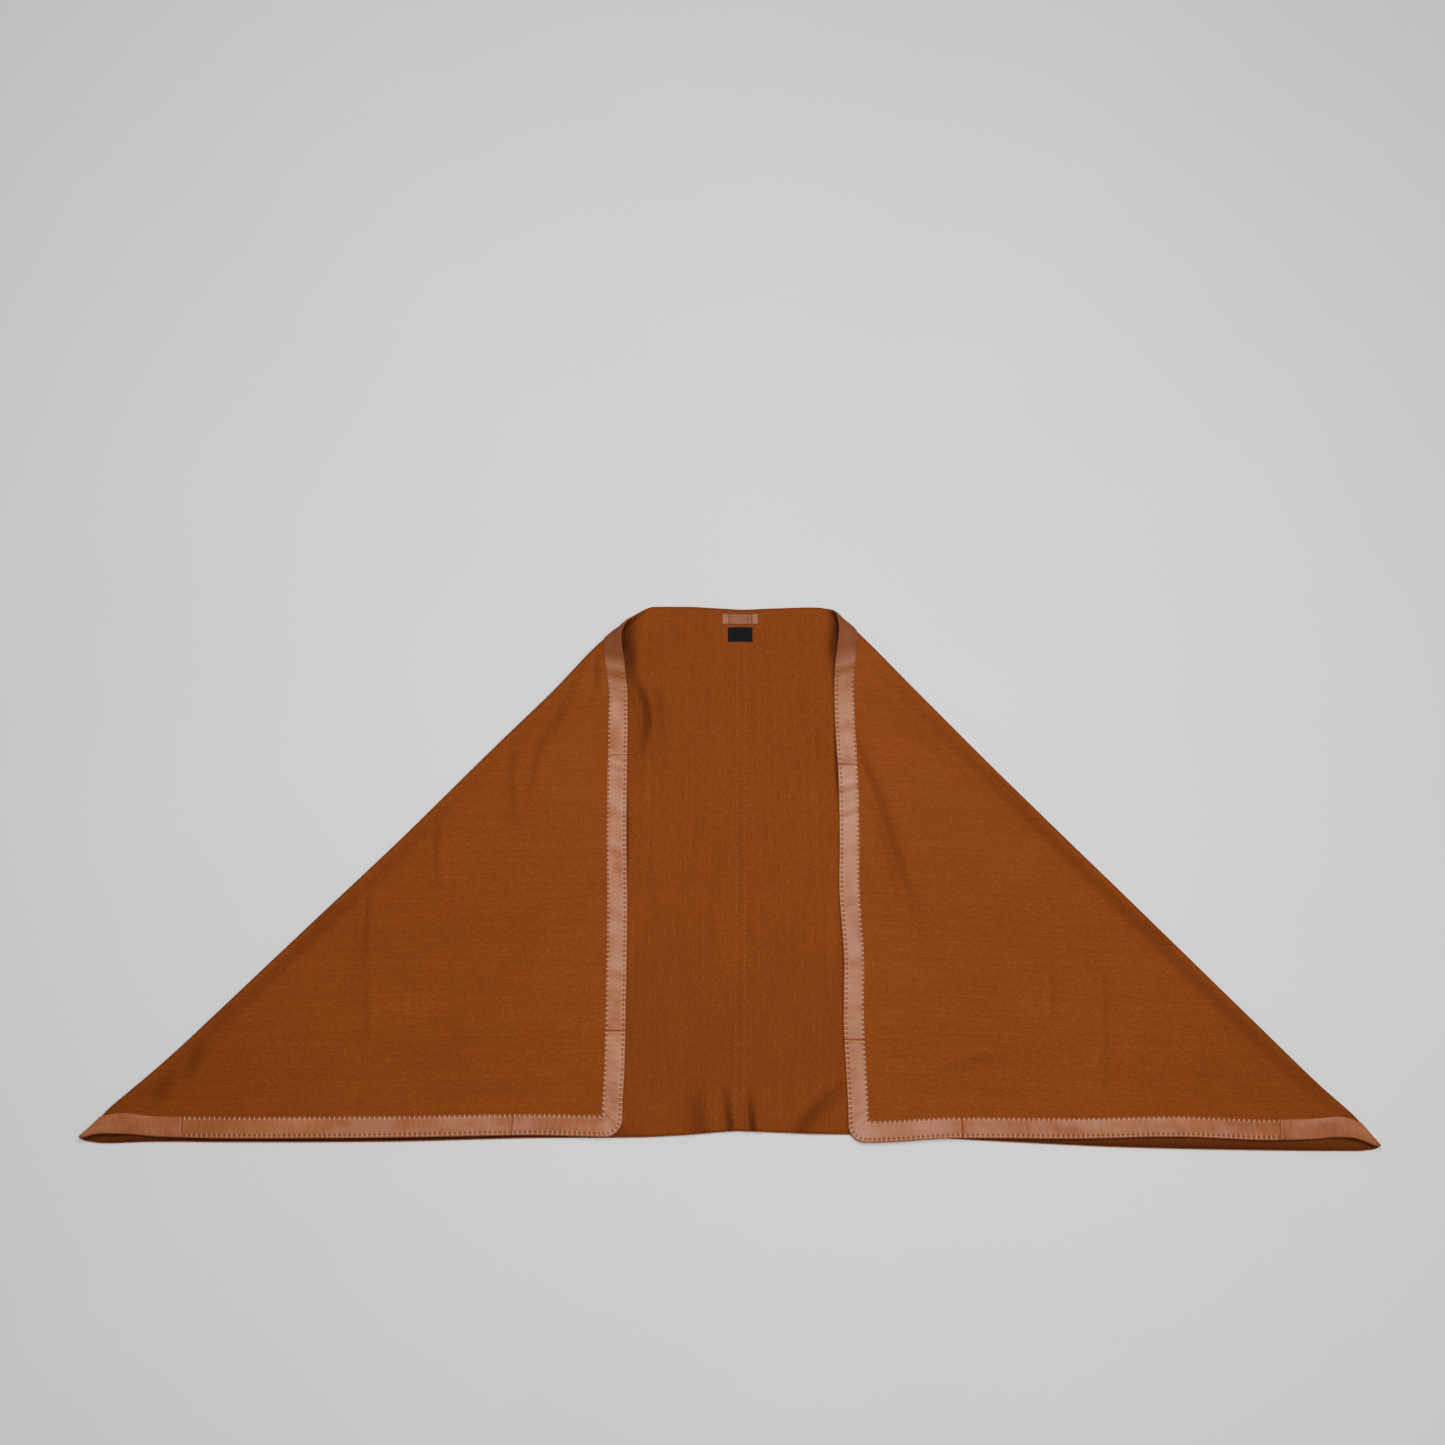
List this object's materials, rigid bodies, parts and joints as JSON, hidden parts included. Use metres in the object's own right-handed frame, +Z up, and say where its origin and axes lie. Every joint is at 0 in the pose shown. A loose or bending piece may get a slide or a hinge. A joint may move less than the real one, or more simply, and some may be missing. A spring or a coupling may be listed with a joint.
{
  "type": "open-front poncho",
  "caption": "Open-front woollen poncho cut from a rectangle and edged with a stitched leather band, laid flat with its fronts folded over the back.",
  "frame": {"origin": "on the floor under the middle of the laid garment's box", "axes": "+X runs from the left tip to the right tip as the picture shows them, +Y from the hem to the neck, +Z up from the floor"},
  "size_m": [1.6867, 0.7405, 0.0304],
  "materials": {
    "wool": "matte, finely heathered woven wool with a short nap",
    "binding": "soft satin lambskin with fine creases",
    "patch": "soft satin lambskin, bare",
    "label": "black woven satin label, bare"
  },
  "bodies": {
    "root": {"cloth_left": "wool", "cloth_right": "wool", "shoulder_band_left": "binding", "shoulder_band_right": "binding", "front_band_left": "binding", "front_band_right": "binding", "corner_band_left": "binding", "corner_band_right": "binding", "hem_band_left": "binding", "hem_band_right": "binding", "tip_band_left": "binding", "tip_band_right": "binding", "back_hem_band_left": "binding", "back_hem_band_right": "binding", "neck_patch": "patch", "care_label": "label"}
  },
  "joints": []
}
